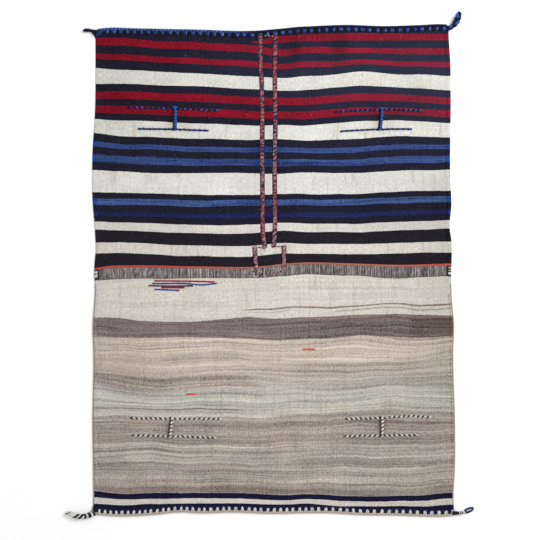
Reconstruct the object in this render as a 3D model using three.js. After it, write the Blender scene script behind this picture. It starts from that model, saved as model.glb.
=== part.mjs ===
// A flat-woven wool saddle bag, opened out and lying flat as one single layer of cloth.
// Units are millimetres. +X runs along the weft stripes, +Y runs along the warps towards
// the end with the red stripes, and +Z is up. The cloth lies on z = 0, with the middle of
// its outline at the origin. The fold of the bag is the ribbed band near y = 0.
import * as THREE from "three";

// ---------------------------------------------------------------- driving dimensions

const CLOTH_THICKNESS = 2.5;
const GAP = 0.3; // between pieces that touch
const ON_CLOTH = CLOTH_THICKNESS + GAP; // where sewn trim sits
const SAMPLES_PER_SPAN = 4; // points worked out between two points of an outline

const EDGE_CORD = { width: 8, height: 5.5 };
const TWINED_BORDER = { width: 12, height: 4 };
const SELVEDGE = { width: 4, height: 2.2, inset: 2.6 };
const BAND = { width: 27, height: 2 };
const BAND_WRAP = { width: 15, length: 29, height: 3.2 };
const ORANGE_LINE = { width: 5, height: 1 };
const SLIT_LINE = { width: 6.5, height: 2.5 };
const SLIT_BAR = { width: 12, height: 3.5 };
const CENTRE_SEAM = { width: 11, height: 3 };
const BOX_SEAM_RADIUS = 2.2;
const STITCH_YARN = { width: 3, height: 1.4 };
const BROCADE_YARN = { width: 3.4, height: 1 };
const KNOT = { length: 30, width: 10, height: 6 };

// The four edges of the cloth with its borders, from corner to corner. The cloth was woven
// and worn by hand, so no edge is straight.
const TOP_EDGE = [
  [-525, 710], [-485, 714.5], [-415, 713], [-200, 708], [-100, 705], [-58, 705.5], [10, 711],
  [80, 717], [220, 722.5], [325, 719.5], [430, 722.5], [495, 725], [514, 724],
];
const RIGHT_EDGE = [
  [514, 724], [515, 688], [519.5, 618], [521, 512], [520, 265], [523, 194], [518, 124], [523, 88],
  [522.5, -17], [525, -88], [531, -158], [529, -229], [534, -460], [533.5, -582], [529.5, -652],
  [530.5, -721],
];
const BOTTOM_EDGE = [
  [-532, -717], [-485, -722.5], [-432, -723.5], [-344, -718], [-273, -711.5], [-220, -714.5],
  [-132, -712], [9, -716], [79, -714], [185, -715], [256, -719.5], [362, -721], [432, -723.5],
  [503, -724], [530.5, -721],
];
const LEFT_EDGE = [
  [-532, -717], [-531.5, -652], [-534, -440], [-531.5, -230], [-533.5, -176], [-527, -60],
  [-528, 18], [-524.5, 55], [-527, 124], [-533, 200], [-534, 335], [-526, 476], [-524.5, 618],
  [-525, 710],
];

// The middles of the lines that run across the fold.
const BAND_LINE = [
  [-506, -12], [-273, -9.5], [-32, -7], [79, 1.5], [226, -0.5], [373, -7], [508, -2.5],
];
const ORANGE_CENTRES = [
  [-520, 5], [-480, 11], [-430, 12.3], [-215, 9.3], [-32, 10.5], [35, 18], [79, 20.8],
  [226, 18.2], [373, 13.8], [516, 17.8],
];

// Each closed slit: the twined line above it and the one below it, and the oversewn bar
// between them, from its top to its bottom.
const SLITS = [
  {
    name: "slit_upper_left",
    colour: "night",
    above: [[-434, 480.5], [-300, 476.5], [-162, 470.5]],
    below: [[-402, 417], [-300, 415.5], [-192, 411.5]],
    bar: [[-291, 476.5], [-291, 415]],
  },
  {
    name: "slit_upper_right",
    colour: "night",
    above: [[177, 466.5], [306, 473.5], [435, 470.5]],
    below: [[192, 409.5], [300, 415], [407, 416.5]],
    bar: [[318.5, 473.5], [312, 415.2]],
  },
  {
    name: "slit_lower_left",
    colour: "bark",
    above: [[-421, -434.5], [-288, -436], [-152.5, -437]],
    below: [[-417, -485], [-294, -487.5], [-169, -492.5]],
    bar: [[-300, -435.9], [-306.5, -487.3]],
  },
  {
    name: "slit_lower_right",
    colour: "bark",
    above: [[211, -437], [315, -433.5], [409, -428.5], [463, -431.5]],
    below: [[205, -487.5], [315, -485.5], [430, -484]],
    bar: [[318, -433.4], [318, -485.5]],
  },
];

// The oversewn seams of the narrow neck that runs down the middle to the fold.
const CENTRE_SEAMS = {
  centre_seam_left: [[-36, 684.5], [-36, 618], [-31, 412], [-32, 324], [-31, 206], [-29, 103], [-25, 66]],
  centre_seam_right: [[8, 688], [6, 618], [7, 412], [4.5, 324], [5, 206], [5.5, 118], [2.5, 69]],
};
// The seams of the wider box at the foot of the neck climb over the orange line and the
// band. Each point is x, y and the height that the seam has climbed.
const BOX_SEAMS = {
  box_seam_left: [[-54, 68, 0], [-52, 40, 0], [-50.5, 24, 2.3], [-49.5, 4, 2.3], [-49, -8, 2.3]],
  box_seam_right: [[32, 71, 0], [32, 44, 0], [32, 31, 2.3], [32, 12, 2.3], [32.3, 1, 2.3]],
};
const STITCHES = {
  stitch_yarn_neck_top: { path: [[-27, 683.5], [-1, 685.5]], lift: 0 },
  stitch_yarn_left_step: { path: [[-48, 67], [-32, 67.5]], lift: 0 },
  stitch_yarn_right_step: { path: [[9.5, 70.5], [27, 71]], lift: 0 },
  stitch_yarn_box_foot: { path: [[-42, -8], [-10, -6.5], [20, -4]], lift: 2.3 },
};

// Short accents of coloured yarn woven in below the band and further down.
const BROCADE = {
  brocade_red_top: { path: [[-350, -30.5], [-260, -31.5], [-174, -33.5]], colour: "madder" },
  brocade_blue_top: { path: [[-357, -38.5], [-250, -39], [-215, -42.5], [-167, -38]], colour: "sky" },
  brocade_dark: { path: [[-340, -45.5], [-251, -45.5]], colour: "indigo" },
  brocade_red_low: { path: [[-330, -50.5], [-262, -50.5]], colour: "madder" },
  brocade_blue_low: { path: [[-351, -55.5], [-279, -58.5]], colour: "sky" },
  tick_red: { path: [[-253, -364], [-225, -364]], colour: "madder" },
  tick_orange: { path: [[84, -232], [122, -232]], colour: "orange" },
};

// The loose cord ends at the corners, each lying on the ground: x, y and radius.
const TAILS = {
  tail_top_left: [
    [-530.5, 706, 4.5], [-536, 707.5, 4.5], [-544, 707.5, 4.5], [-551, 707, 6.5], [-559, 706, 5],
  ],
  tail_top_right: [[519.5, 714, 8], [527, 719, 9], [535, 730, 9.5], [540, 743, 8.5], [548, 757, 6]],
  tail_bottom_left: [
    [-536, -717, 6.5], [-543, -719.5, 7], [-563, -723, 7], [-579, -722, 7], [-597, -716, 7],
    [-611.5, -711, 6],
  ],
  tail_bottom_right: [[533, -712, 5], [546, -711, 5], [558, -710, 5], [570, -706, 6.5], [587, -699.5, 5]],
};
const TAIL_SIDES = 10;
const TAIL_STEPS = 14;
const TAIL_LIFT = 0.5; // keeps the smoothed underside of a tail off the ground

// ---------------------------------------------------------------- materials

function wool(colour) {
  return new THREE.MeshStandardMaterial({ color: colour, roughness: 0.95, metalness: 0 });
}

const WOOL = {
  cream: wool(0xd8d2c4),
  navy: wool(0x1c1e38),
  night: wool(0x1f2440),
  bark: wool(0x4a3d36),
  grey: wool(0x6b6761),
  tan: wool(0xb9a797),
  orange: wool(0xc8553c),
  rose: wool(0xa05a5c),
  madder: wool(0x9c1f34),
  sky: wool(0x2f4f9c),
  indigo: wool(0x22264f),
};

// ---------------------------------------------------------------- shapes

function smoothLine(points) {
  const curve = new THREE.SplineCurve(points.map(([x, y]) => new THREE.Vector2(x, y)));
  return curve.getPoints((points.length - 1) * SAMPLES_PER_SPAN);
}

function shifted(line, dy) {
  return line.map((p) => new THREE.Vector2(p.x, p.y + dy));
}

// The strip between two copies of one line, moved up and down the cloth.
function stripBetween(line, low, high) {
  return new THREE.Shape([...shifted(line, low), ...shifted(line, high).reverse()]);
}

// A flat cord of one width, centred on a line.
function stripAlong(line, width) {
  const left = [];
  const right = [];
  line.forEach((p, i) => {
    const before = line[Math.max(i - 1, 0)];
    const after = line[Math.min(i + 1, line.length - 1)];
    const across = after.clone().sub(before).normalize().rotateAround(new THREE.Vector2(), Math.PI / 2);
    left.push(p.clone().addScaledVector(across, width / 2));
    right.push(p.clone().addScaledVector(across, -width / 2));
  });
  return new THREE.Shape([...right, ...left.reverse()]);
}

// A shape raised from z = base, with its upper and lower edges eased by a small bevel.
function raised(shape, height, base, bevel) {
  const geometry = new THREE.ExtrudeGeometry(shape, {
    depth: height - 2 * bevel,
    bevelEnabled: bevel > 0,
    bevelThickness: bevel,
    bevelSize: bevel,
    bevelOffset: -bevel,
    bevelSegments: 1,
    steps: 1,
  });
  return geometry.translate(0, 0, base + bevel);
}

// A round cord through points of x, y, z and radius, closed at both ends.
function roundCord(stations, sides, steps) {
  const curve = new THREE.CatmullRomCurve3(stations.map(([x, y, z]) => new THREE.Vector3(x, y, z)));
  const radii = new THREE.SplineCurve(stations.map((s, i) => new THREE.Vector2(i, s[3])));
  const frames = curve.computeFrenetFrames(steps);
  const positions = [];
  const index = [];
  for (let i = 0; i <= steps; i += 1) {
    const centre = curve.getPointAt(i / steps);
    const radius = radii.getPoint(curve.getUtoTmapping(i / steps)).y;
    for (let k = 0; k < sides; k += 1) {
      const turn = (2 * Math.PI * k) / sides;
      const rim = centre
        .clone()
        .addScaledVector(frames.normals[i], radius * Math.cos(turn))
        .addScaledVector(frames.binormals[i], radius * Math.sin(turn));
      positions.push(rim.x, rim.y, rim.z);
    }
  }
  const ring = (i, k) => i * sides + (k % sides);
  for (let i = 0; i < steps; i += 1) {
    for (let k = 0; k < sides; k += 1) {
      index.push(ring(i, k), ring(i, k + 1), ring(i + 1, k));
      index.push(ring(i + 1, k), ring(i, k + 1), ring(i + 1, k + 1));
    }
  }
  for (let k = 1; k < sides - 1; k += 1) {
    index.push(ring(0, 0), ring(0, k + 1), ring(0, k));
    index.push(ring(steps, 0), ring(steps, k), ring(steps, k + 1));
  }
  const geometry = new THREE.BufferGeometry();
  geometry.setAttribute("position", new THREE.Float32BufferAttribute(positions, 3));
  geometry.setIndex(index);
  geometry.computeVertexNormals();
  return geometry;
}

function piece(name, geometry, material) {
  const mesh = new THREE.Mesh(geometry, material);
  mesh.name = name;
  return mesh;
}

// ---------------------------------------------------------------- the cloth and its ends

const topLine = smoothLine(TOP_EDGE);
const rightLine = smoothLine(RIGHT_EDGE);
const bottomLine = smoothLine(BOTTOM_EDGE);
const leftLine = smoothLine(LEFT_EDGE);
const borderDepth = EDGE_CORD.width + GAP + TWINED_BORDER.width + GAP;

// The woven part stops short of the twined borders at both ends.
function makeCloth() {
  const bottom = shifted(bottomLine, borderDepth);
  const top = shifted(topLine, -borderDepth);
  const side = (line, foot, head) => line.filter((p) => p.y > foot.y + 5 && p.y < head.y - 5);
  const right = side(rightLine, bottom.at(-1), top.at(-1)).reverse();
  const left = side(leftLine, bottom[0], top[0]).reverse();
  const outline = new THREE.Shape([...bottom, ...right, ...top.reverse(), ...left]);
  return piece("woven_cloth", raised(outline, CLOTH_THICKNESS, 0, 0.6), WOOL.cream);
}

// At each end, a twined border and outside it a thick edge cord. direction points outwards.
function makeEnd(end, line, direction, colour) {
  const group = new THREE.Group();
  const inner = -direction * (EDGE_CORD.width + GAP);
  const strips = [
    [`${end}_edge_cord`, 0, -direction * EDGE_CORD.width, EDGE_CORD.height, colour],
    [`${end}_twined_border`, inner, inner - direction * TWINED_BORDER.width, TWINED_BORDER.height, WOOL.navy],
  ];
  for (const [name, from, to, height, material] of strips) {
    const shape = stripBetween(line, Math.min(from, to), Math.max(from, to));
    group.add(piece(name, raised(shape, height, 0, 1), material));
  }
  return group;
}

function makeSelvedge(name, line, inwards) {
  const highest = BAND_LINE[0][1] - BAND.width;
  const lowest = BOTTOM_EDGE[0][1] + borderDepth;
  const lower = line.filter((p) => p.y < highest && p.y > lowest);
  const path = lower.map((p) => new THREE.Vector2(p.x + inwards * SELVEDGE.inset, p.y));
  return piece(name, raised(stripAlong(path, SELVEDGE.width), SELVEDGE.height, ON_CLOTH, 0.5), WOOL.tan);
}

// ---------------------------------------------------------------- the fold

function makeFold() {
  const group = new THREE.Group();
  const band = stripBetween(smoothLine(BAND_LINE), -BAND.width / 2, BAND.width / 2);
  const line = stripBetween(smoothLine(ORANGE_CENTRES), -ORANGE_LINE.width / 2, ORANGE_LINE.width / 2);
  group.add(piece("middle_band", raised(band, BAND.height, ON_CLOTH, 0.5), WOOL.grey));
  group.add(piece("orange_line", raised(line, ORANGE_LINE.height, ON_CLOTH, 0.2), WOOL.orange));
  const ends = [
    ["band_wrap_left", BAND_LINE[0], -1],
    ["band_wrap_right", BAND_LINE[BAND_LINE.length - 1], 1],
  ];
  for (const [name, [x, y], side] of ends) {
    const middle = x + side * (GAP + BAND_WRAP.width / 2);
    const path = [0.5, -0.5].map((k) => new THREE.Vector2(middle, y - 4 + k * BAND_WRAP.length));
    const geometry = raised(stripAlong(path, BAND_WRAP.width), BAND_WRAP.height, ON_CLOTH, 1);
    group.add(piece(name, geometry, WOOL.bark));
  }
  return group;
}

// ---------------------------------------------------------------- closed slits

function makeSlit({ name, colour, above, below, bar }) {
  const group = new THREE.Group();
  for (const [part, path] of [["line_above", above], ["line_below", below]]) {
    const shape = stripAlong(smoothLine(path), SLIT_LINE.width);
    group.add(piece(`${name}_${part}`, raised(shape, SLIT_LINE.height, ON_CLOTH, 0.6), WOOL[colour]));
  }
  const clear = SLIT_LINE.width / 2 + 5 * GAP;
  const [top, foot] = bar.map(([x, y], i) => new THREE.Vector2(x, i === 0 ? y - clear : y + clear));
  const shape = stripAlong([top, foot], SLIT_BAR.width);
  group.add(piece(`${name}_bar`, raised(shape, SLIT_BAR.height, ON_CLOTH, 1), WOOL[colour]));
  return group;
}

// ---------------------------------------------------------------- neck seams and stitches

function makeSeams() {
  const group = new THREE.Group();
  for (const [name, path] of Object.entries(CENTRE_SEAMS)) {
    const shape = stripAlong(smoothLine(path), CENTRE_SEAM.width);
    group.add(piece(name, raised(shape, CENTRE_SEAM.height, ON_CLOTH, 0.9), WOOL.rose));
  }
  for (const [name, path] of Object.entries(BOX_SEAMS)) {
    const base = ON_CLOTH + BOX_SEAM_RADIUS;
    const stations = path.map(([x, y, climb]) => [x, y, base + climb, BOX_SEAM_RADIUS]);
    group.add(piece(name, roundCord(stations, 8, 16), WOOL.rose));
  }
  for (const [name, { path, lift }] of Object.entries(STITCHES)) {
    const shape = stripAlong(smoothLine(path), STITCH_YARN.width);
    group.add(piece(name, raised(shape, STITCH_YARN.height, ON_CLOTH + lift, 0.3), WOOL.rose));
  }
  return group;
}

// The thread of the left box seam ends in a small knot that lies on the band.
function makeSeamKnot() {
  const [x, y] = BOX_SEAMS.box_seam_left.at(-1);
  const geometry = new THREE.SphereGeometry(0.5, 14, 8);
  geometry.scale(KNOT.length, KNOT.width, KNOT.height);
  const base = ON_CLOTH + BAND.height + GAP;
  geometry.translate(x, y - GAP - KNOT.width / 2, base + KNOT.height / 2);
  return piece("seam_knot", geometry, WOOL.bark);
}

// ---------------------------------------------------------------- accents and corner tails

function makeBrocade() {
  const group = new THREE.Group();
  for (const [name, { path, colour }] of Object.entries(BROCADE)) {
    const shape = stripAlong(smoothLine(path), BROCADE_YARN.width);
    group.add(piece(name, raised(shape, BROCADE_YARN.height, ON_CLOTH, 0.2), WOOL[colour]));
  }
  return group;
}

function makeTails() {
  const group = new THREE.Group();
  for (const [name, stations] of Object.entries(TAILS)) {
    const lying = stations.map(([x, y, radius]) => [x, y, radius + TAIL_LIFT, radius]);
    group.add(piece(name, roundCord(lying, TAIL_SIDES, TAIL_STEPS), WOOL.navy));
  }
  return group;
}

// ---------------------------------------------------------------- the whole bag

const bag = new THREE.Group();
bag.add(makeCloth());
bag.add(makeEnd("top", topLine, 1, WOOL.night));
bag.add(makeEnd("bottom", bottomLine, -1, WOOL.tan));
bag.add(makeSelvedge("selvedge_cord_left", leftLine, 1));
bag.add(makeSelvedge("selvedge_cord_right", rightLine, -1));
bag.add(makeFold());
SLITS.forEach((slit) => bag.add(makeSlit(slit)));
bag.add(makeSeams());
bag.add(makeSeamKnot());
bag.add(makeBrocade());
bag.add(makeTails());

export default bag;
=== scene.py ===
"""A striped wool saddle bag, opened out and lying flat in one layer on a pale floor.

The cloth is a grid of woven places: a weft's level says which stripe it belongs to, and the
drift table says how far each weft wanders up or down. Every trim is made of single yarns,
gathered by the Yarns class. Lengths are millimetres until a mesh is made.
"""

import math
import random

import bpy
import mathutils
import numpy as np
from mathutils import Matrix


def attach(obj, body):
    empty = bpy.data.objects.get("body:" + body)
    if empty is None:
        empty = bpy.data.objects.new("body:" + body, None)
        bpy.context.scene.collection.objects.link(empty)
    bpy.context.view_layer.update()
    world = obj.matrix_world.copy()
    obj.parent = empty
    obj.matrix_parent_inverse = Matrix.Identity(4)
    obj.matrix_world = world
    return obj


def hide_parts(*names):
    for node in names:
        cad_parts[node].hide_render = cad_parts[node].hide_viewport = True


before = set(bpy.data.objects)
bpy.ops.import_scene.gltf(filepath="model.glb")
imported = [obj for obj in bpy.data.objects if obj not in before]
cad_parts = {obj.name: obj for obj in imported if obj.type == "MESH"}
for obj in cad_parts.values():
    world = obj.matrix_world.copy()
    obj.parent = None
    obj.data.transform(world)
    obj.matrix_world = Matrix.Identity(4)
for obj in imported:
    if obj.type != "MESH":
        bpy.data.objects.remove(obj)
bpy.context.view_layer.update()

MM = 0.001
rng = random.Random(11)

# ------------------------------------------------------------------ the cloth's plan

CLOTH_THICKNESS = 2.5
EDGE_CORD = 7.5  # width of the cord along each end
TWINED_BORDER = 12.0  # depth of the row of teeth inside it
TOP_LEVEL = 697.0  # the first and last wefts
LOW_LEVEL = -712.0

# The four edges, as the construction model has them: along, across.
TOP_EDGE = [
    (-525, 710), (-485, 714.5), (-415, 713), (-200, 708), (-100, 705), (-58, 705.5), (10, 711),
    (80, 717), (220, 722.5), (325, 719.5), (430, 722.5), (495, 725), (514, 724),
]
BOTTOM_EDGE = [
    (-532, -717), (-485, -722.5), (-432, -723.5), (-344, -718), (-273, -711.5), (-220, -714.5),
    (-132, -712), (9, -716), (79, -714), (185, -715), (256, -719.5), (362, -721), (432, -723.5),
    (503, -724), (530.5, -721),
]
RIGHT_EDGE = [
    (724, 514), (688, 515), (618, 519.5), (512, 521), (265, 520), (194, 523), (124, 518), (88, 523),
    (-17, 522.5), (-88, 525), (-158, 531), (-229, 529), (-460, 534), (-582, 533.5), (-652, 529.5),
    (-721, 530.5),
]
LEFT_EDGE = [
    (-717, -532), (-652, -531.5), (-440, -534), (-230, -531.5), (-176, -533.5), (-60, -527),
    (18, -528), (55, -524.5), (124, -527), (200, -533), (335, -534), (476, -526), (618, -524.5),
    (710, -525),
]

# How far a weft lies above its level, at twelve places across the cloth.
STATIONS = (-520, -450, -362, -244, -68, 26, 94, 170, 256, 373, 440, 515)
WEFT_DRIFT = {
    662: (22, 21, 13, 9, -2, -14, -10, -8, -12, -14, -11, -14),
    651: (22, 22, 14, 11, 0, -11, -3, -5, -3, -6, -6, -6),
    572: (26, 20, 15, 10, 0, -4, 1, 4, 14, 6, 6, 1),
    532: (15, 15, 11, 8, 0, -4, -3, 2, 8, 5, 0, -5),
    429: (18, 14, 12, 6, 0, 0, -1, 6, 11, 14, 11, 6),
    384: (21, 11, 8, 4, 0, 1, -3, 0, 2, 9, 8, 7),
    337: (18, 10, 8, 2, 0, -2, -3, -4, -1, 8, 8, 10),
    300: (10, 5, -1, -1, 0, -4, 1, 0, 0, 6, 7, 10),
    223: (8, 7, 5, 2, 0, 3, 3, 2, 3, 10, 12, 13),
    200: (1, 1, 1, -4, 0, -1, 0, -2, 2, 5, 7, 9),
    121: (10, 7, 5, 0, 0, 7, 4, 3, 3, 9, 11, 13),
    42: (9, 9, 6, 0, 0, 9, 8, 7, 7, 8, 10, 11),
    12: (-1, 5, 1, -1, 0, 6, 12, 10, 8, 5, 7, 9),
    -21: (-7, -2, -2, 0, 0, 5, 11, 8, 6, -2, 3, 4),
    -113: (0, 0, 0, 0, 0, 0, 2, 5, 8, 16, 15, 13),
    -138: (0, -3, -12, -14, 0, -4, 0, 4, 8, 9, 7, 5),
    -201: (4, 4, 2, 4, 0, -4, 0, 1, 9, 6, 4, 7),
    -258: (0, 0, 0, 0, 0, 0, 0, 0, 1, 2, 8, 18),
    -345: (15, 0, -6, 0, 3, 0, 3, 5, 8, 14, 14, 14),
    -412: (10, 6, 0, -1, 0, 3, 5, 7, 10, 15, 15, 15),
    -533: (0, 4, 12, 0, -1, 0, 2, 4, 6, 8, 8, 8),
    -656: (7, -2, 1, 0, 0, -4, -2, -6, -10, -9, -7, 1),
    -670: (5, -1, 1, 1, 0, -3, 0, -4, -8, -7, -6, 2),
    -685: (0, -5, 0, 0, 0, -1, 1, -7, -8, -8, -9, -2),
}

# A wedge of red wefts that starts at the neck and runs to the right edge: its two sides.
WEDGE_ABOVE = [
    (-84, 671), (-62, 673), (-44, 675), (-18, 681.5), (15, 689), (50, 691), (94, 694), (515, 696),
]
WEDGE_BELOW = [(-84, 670), (-62, 669), (-44, 668), (15, 670.5), (94, 674), (256, 677), (515, 677.5)]

# Colours as seen on the wool, 0 to 255, and how streaky that wool is, 0 to 1.
NAVY = (30, 29, 43, 0.10)
BLACK = (34, 30, 38, 0.05)
CRIMSON = (129, 16, 34, 0.14)
CREAM = (216, 215, 208, 0.05)
IVORY = (213, 208, 201, 0.06)
BLUE = (52, 70, 122, 0.80)
FADED_BLUE = (62, 83, 134, 0.72)
INDIGO = (32, 38, 84, 0.45)
DIM_INDIGO = (31, 34, 64, 0.40)
FOLD_GREY = (104, 97, 94, 0.10)
OLD_WHITE = (208, 202, 193, 0.16)
BROWN = (120, 107, 104, 0.74)
DEEP_NAVY = (21, 23, 50, 0.05)
UNDYED = (176, 163, 152, 0.60)

# The lowest level of each stripe, from the top down.
UPPER_STRIPES = [
    (662.4, NAVY), (640.9, CRIMSON), (615.4, NAVY), (597.4, CRIMSON), (570.6, NAVY), (531.8, CREAM),
    (509.6, NAVY), (489.3, CRIMSON), (468.4, NAVY), (444.9, CRIMSON), (427.4, NAVY), (382.8, CREAM),
    (362.8, NAVY), (346.8, BLUE), (327.0, NAVY), (308.3, BLUE), (286.0, NAVY), (221.0, CREAM),
    (206.4, NAVY), (189.5, FADED_BLUE), (169.8, NAVY), (165.3, DIM_INDIGO), (153.0, INDIGO),
    (132.3, NAVY), (107.9, IVORY), (71.6, BLACK), (41.7, IVORY), (7.2, BLACK), (0.0, FOLD_GREY),
]
LOWER_STRIPES = [
    (-20.5, FOLD_GREY), (-135.8, OLD_WHITE), (-201.6, BROWN), (-653.8, UNDYED), (-669.5, DEEP_NAVY),
    (-685.2, OLD_WHITE), (-720.0, DEEP_NAVY),
]
# The undyed field between the brown stripe and the border: where it lies, its levels' colours.
FIELD_TOP, FIELD_FOOT = -201.1, -653.8
UNDYED_FIELD = [
    (-201, (184, 169, 156)), (-208, (193, 179, 167)), (-250, (194, 180, 168)), (-262, (197, 183, 172)),
    (-276, (190, 176, 165)), (-310, (184, 171, 162)), (-345, (178, 171, 164)), (-382, (188, 184, 176)),
    (-400, (186, 181, 172)), (-425, (190, 182, 172)), (-437, (168, 156, 147)), (-456, (159, 146, 137)),
    (-476, (166, 154, 145)), (-500, (160, 147, 138)), (-520, (172, 161, 151)), (-545, (167, 157, 148)),
    (-585, (160, 149, 140)), (-615, (168, 157, 147)), (-640, (150, 138, 130)), (-654, (130, 119, 113)),
]
# Single wefts of another shade: level, thickness, where it starts and stops, strength, colour.
ODD_WEFTS = [
    (-113, 4.6, -80, 560, 0.85, (112, 92, 80)),
    (-123, 4.0, 180, 560, 0.55, (124, 104, 90)),
    (-121, 3.5, -60, 60, 0.35, (128, 110, 96)),
    (-150, 5.0, -60, 560, 0.50, (82, 64, 60)),
    (-157, 4.0, -60, 560, 0.45, (150, 134, 126)),
    (-192, 13.0, -560, 60, 0.45, (146, 132, 126)),
    (-152, 20.0, 400, 700, 0.60, (80, 62, 55)),
    (-170, 20.0, 400, 700, 0.55, (90, 72, 64)),
    (-188, 18.0, 400, 700, 0.45, (104, 86, 78)),
    (-268, 4.0, -560, -150, 0.40, (140, 118, 98)),
    (-290, 3.5, -560, -250, 0.25, (150, 128, 110)),
    (-317, 8.0, -430, -110, 0.40, (126, 108, 98)),
    (-330, 27.0, -600, -60, 0.60, (146, 131, 121)),
    (-345, 8.0, -560, -30, 0.45, (126, 108, 98)),
    (-424, 15.0, -600, -10, 0.60, (204, 196, 186)),
    (-430, 9.0, 20, 560, 0.55, (146, 136, 129)),
    (-460, 9.0, -60, 560, 0.45, (132, 118, 108)),
    (-492, 7.0, -330, 100, 0.40, (140, 127, 119)),
    (-505, 24.0, 220, 560, 0.45, (134, 122, 114)),
    (-516, 12.0, -560, -30, 0.40, (188, 178, 168)),
    (-548, 14.0, -420, -60, 0.35, (184, 174, 164)),
    (-548, 7.0, -60, 10, 0.50, (132, 120, 112)),
    (-557, 8.0, 60, 420, 0.50, (134, 123, 115)),
    (-558, 20.0, -600, -440, 0.45, (136, 124, 116)),
    (-573, 12.0, -600, -60, 0.50, (132, 118, 110)),
    (-577, 14.0, 0, 420, 0.45, (180, 170, 160)),
    (-590, 10.0, -260, 20, 0.45, (138, 124, 115)),
    (-610, 22.0, 60, 560, 0.50, (184, 174, 163)),
    (-637, 8.0, 280, 560, 0.45, (124, 113, 104)),
    (-409, 3.6, -560, -90, 0.75, (110, 98, 88)),
    (-409, 5.0, 20, 560, 0.35, (206, 198, 186)),
    (-452, 3.6, -560, -330, 0.50, (118, 102, 92)),
    (-449, 3.6, -260, 60, 0.40, (118, 102, 92)),
    (-440, 6.0, 120, 560, 0.30, (132, 118, 108)),
    (-533, 8.0, -540, 80, 0.35, (128, 114, 106)),
    (-544, 6.0, -560, 560, 0.30, (190, 178, 166)),
    (-617, 6.0, -100, 560, 0.45, (198, 186, 170)),
]


def smooth(points):
    """The smooth function through (place, value) points, level beyond its ends."""
    places, values = np.array(sorted(points), float).T
    slopes = np.gradient(values, places)

    def at(x):
        x = np.clip(x, places[0], places[-1])
        i = np.clip(np.searchsorted(places, x, side="right") - 1, 0, len(places) - 2)
        step = places[i + 1] - places[i]
        t = (x - places[i]) / step
        rise = slopes[i] * step * t * (1 - t) ** 2 - slopes[i + 1] * step * t * t * (1 - t)
        return values[i] * (1 + 2 * t) * (1 - t) ** 2 + values[i + 1] * t * t * (3 - 2 * t) + rise

    return at


top_edge, bottom_edge = smooth(TOP_EDGE), smooth(BOTTOM_EDGE)
left_edge, right_edge = smooth(LEFT_EDGE), smooth(RIGHT_EDGE)
LEVELS = np.array([LOW_LEVEL, *sorted(WEFT_DRIFT), TOP_LEVEL], float)
DRIFT_LINES = [smooth(list(zip(STATIONS, WEFT_DRIFT[level]))) for level in sorted(WEFT_DRIFT)]


def weft_y(x, level):
    """Where the weft of this level lies at x."""
    x, level = np.broadcast_arrays(np.asarray(x, float), np.asarray(level, float))
    first = bottom_edge(x) + EDGE_CORD / 2 - LOW_LEVEL
    last = top_edge(x) - EDGE_CORD / 2 - TOP_LEVEL
    drifts = np.array([first, *[line(x) for line in DRIFT_LINES], last])
    i = np.clip(np.searchsorted(LEVELS, level) - 1, 0, len(LEVELS) - 2)
    t = (level - LEVELS[i]) / (LEVELS[i + 1] - LEVELS[i])
    low = np.take_along_axis(drifts, i[None], 0)[0]
    high = np.take_along_axis(drifts, i[None] + 1, 0)[0]
    return level + low + (high - low) * t


# Soft folds left from storing: middle x, y, half width, half length, lean and height.
FOLDS = [
    (66, 650, 26, 110, 0.10, 5.0),
    (215, 640, 30, 120, -0.06, 4.0),
    (-250, 660, 60, 90, 0.2, 2.5),
    (440, 560, 60, 160, 0.1, 2.2),
    (-440, 60, 60, 120, 0.3, 2.0),
    (430, -40, 70, 120, -0.2, 2.2),
    (-90, -330, 90, 160, 0.25, 2.0),
    (300, -600, 110, 70, 0.1, 2.4),
    (-400, -620, 90, 80, -0.2, 2.2),
]


def ripple(x, y):
    """How far the cloth's underside lifts off the floor."""
    lift = 0.5 * (1 + np.sin(x / 83 + 0.7 * np.sin(y / 160)) * np.sin(y / 118 + 0.5 * np.sin(x / 190)))
    for fold_x, fold_y, wide, long, lean, height in FOLDS:
        across = (x - fold_x - lean * (y - fold_y)) / wide
        along = (y - fold_y) / long
        lift = lift + height * np.exp(-(across**2) - along**2)
    return lift + 0.1


def cloth_top(x, y):
    """How high the cloth's upper side lies."""
    return ripple(x, y) + CLOTH_THICKNESS


# ------------------------------------------------------------------ shader helpers


def linear(colour):
    """A 0 to 255 colour as Blender's linear red, green, blue and alpha."""
    parts = [c / 255 for c in colour[:3]]
    return (*[c / 12.92 if c <= 0.04045 else ((c + 0.055) / 1.055) ** 2.4 for c in parts], 1.0)


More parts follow.
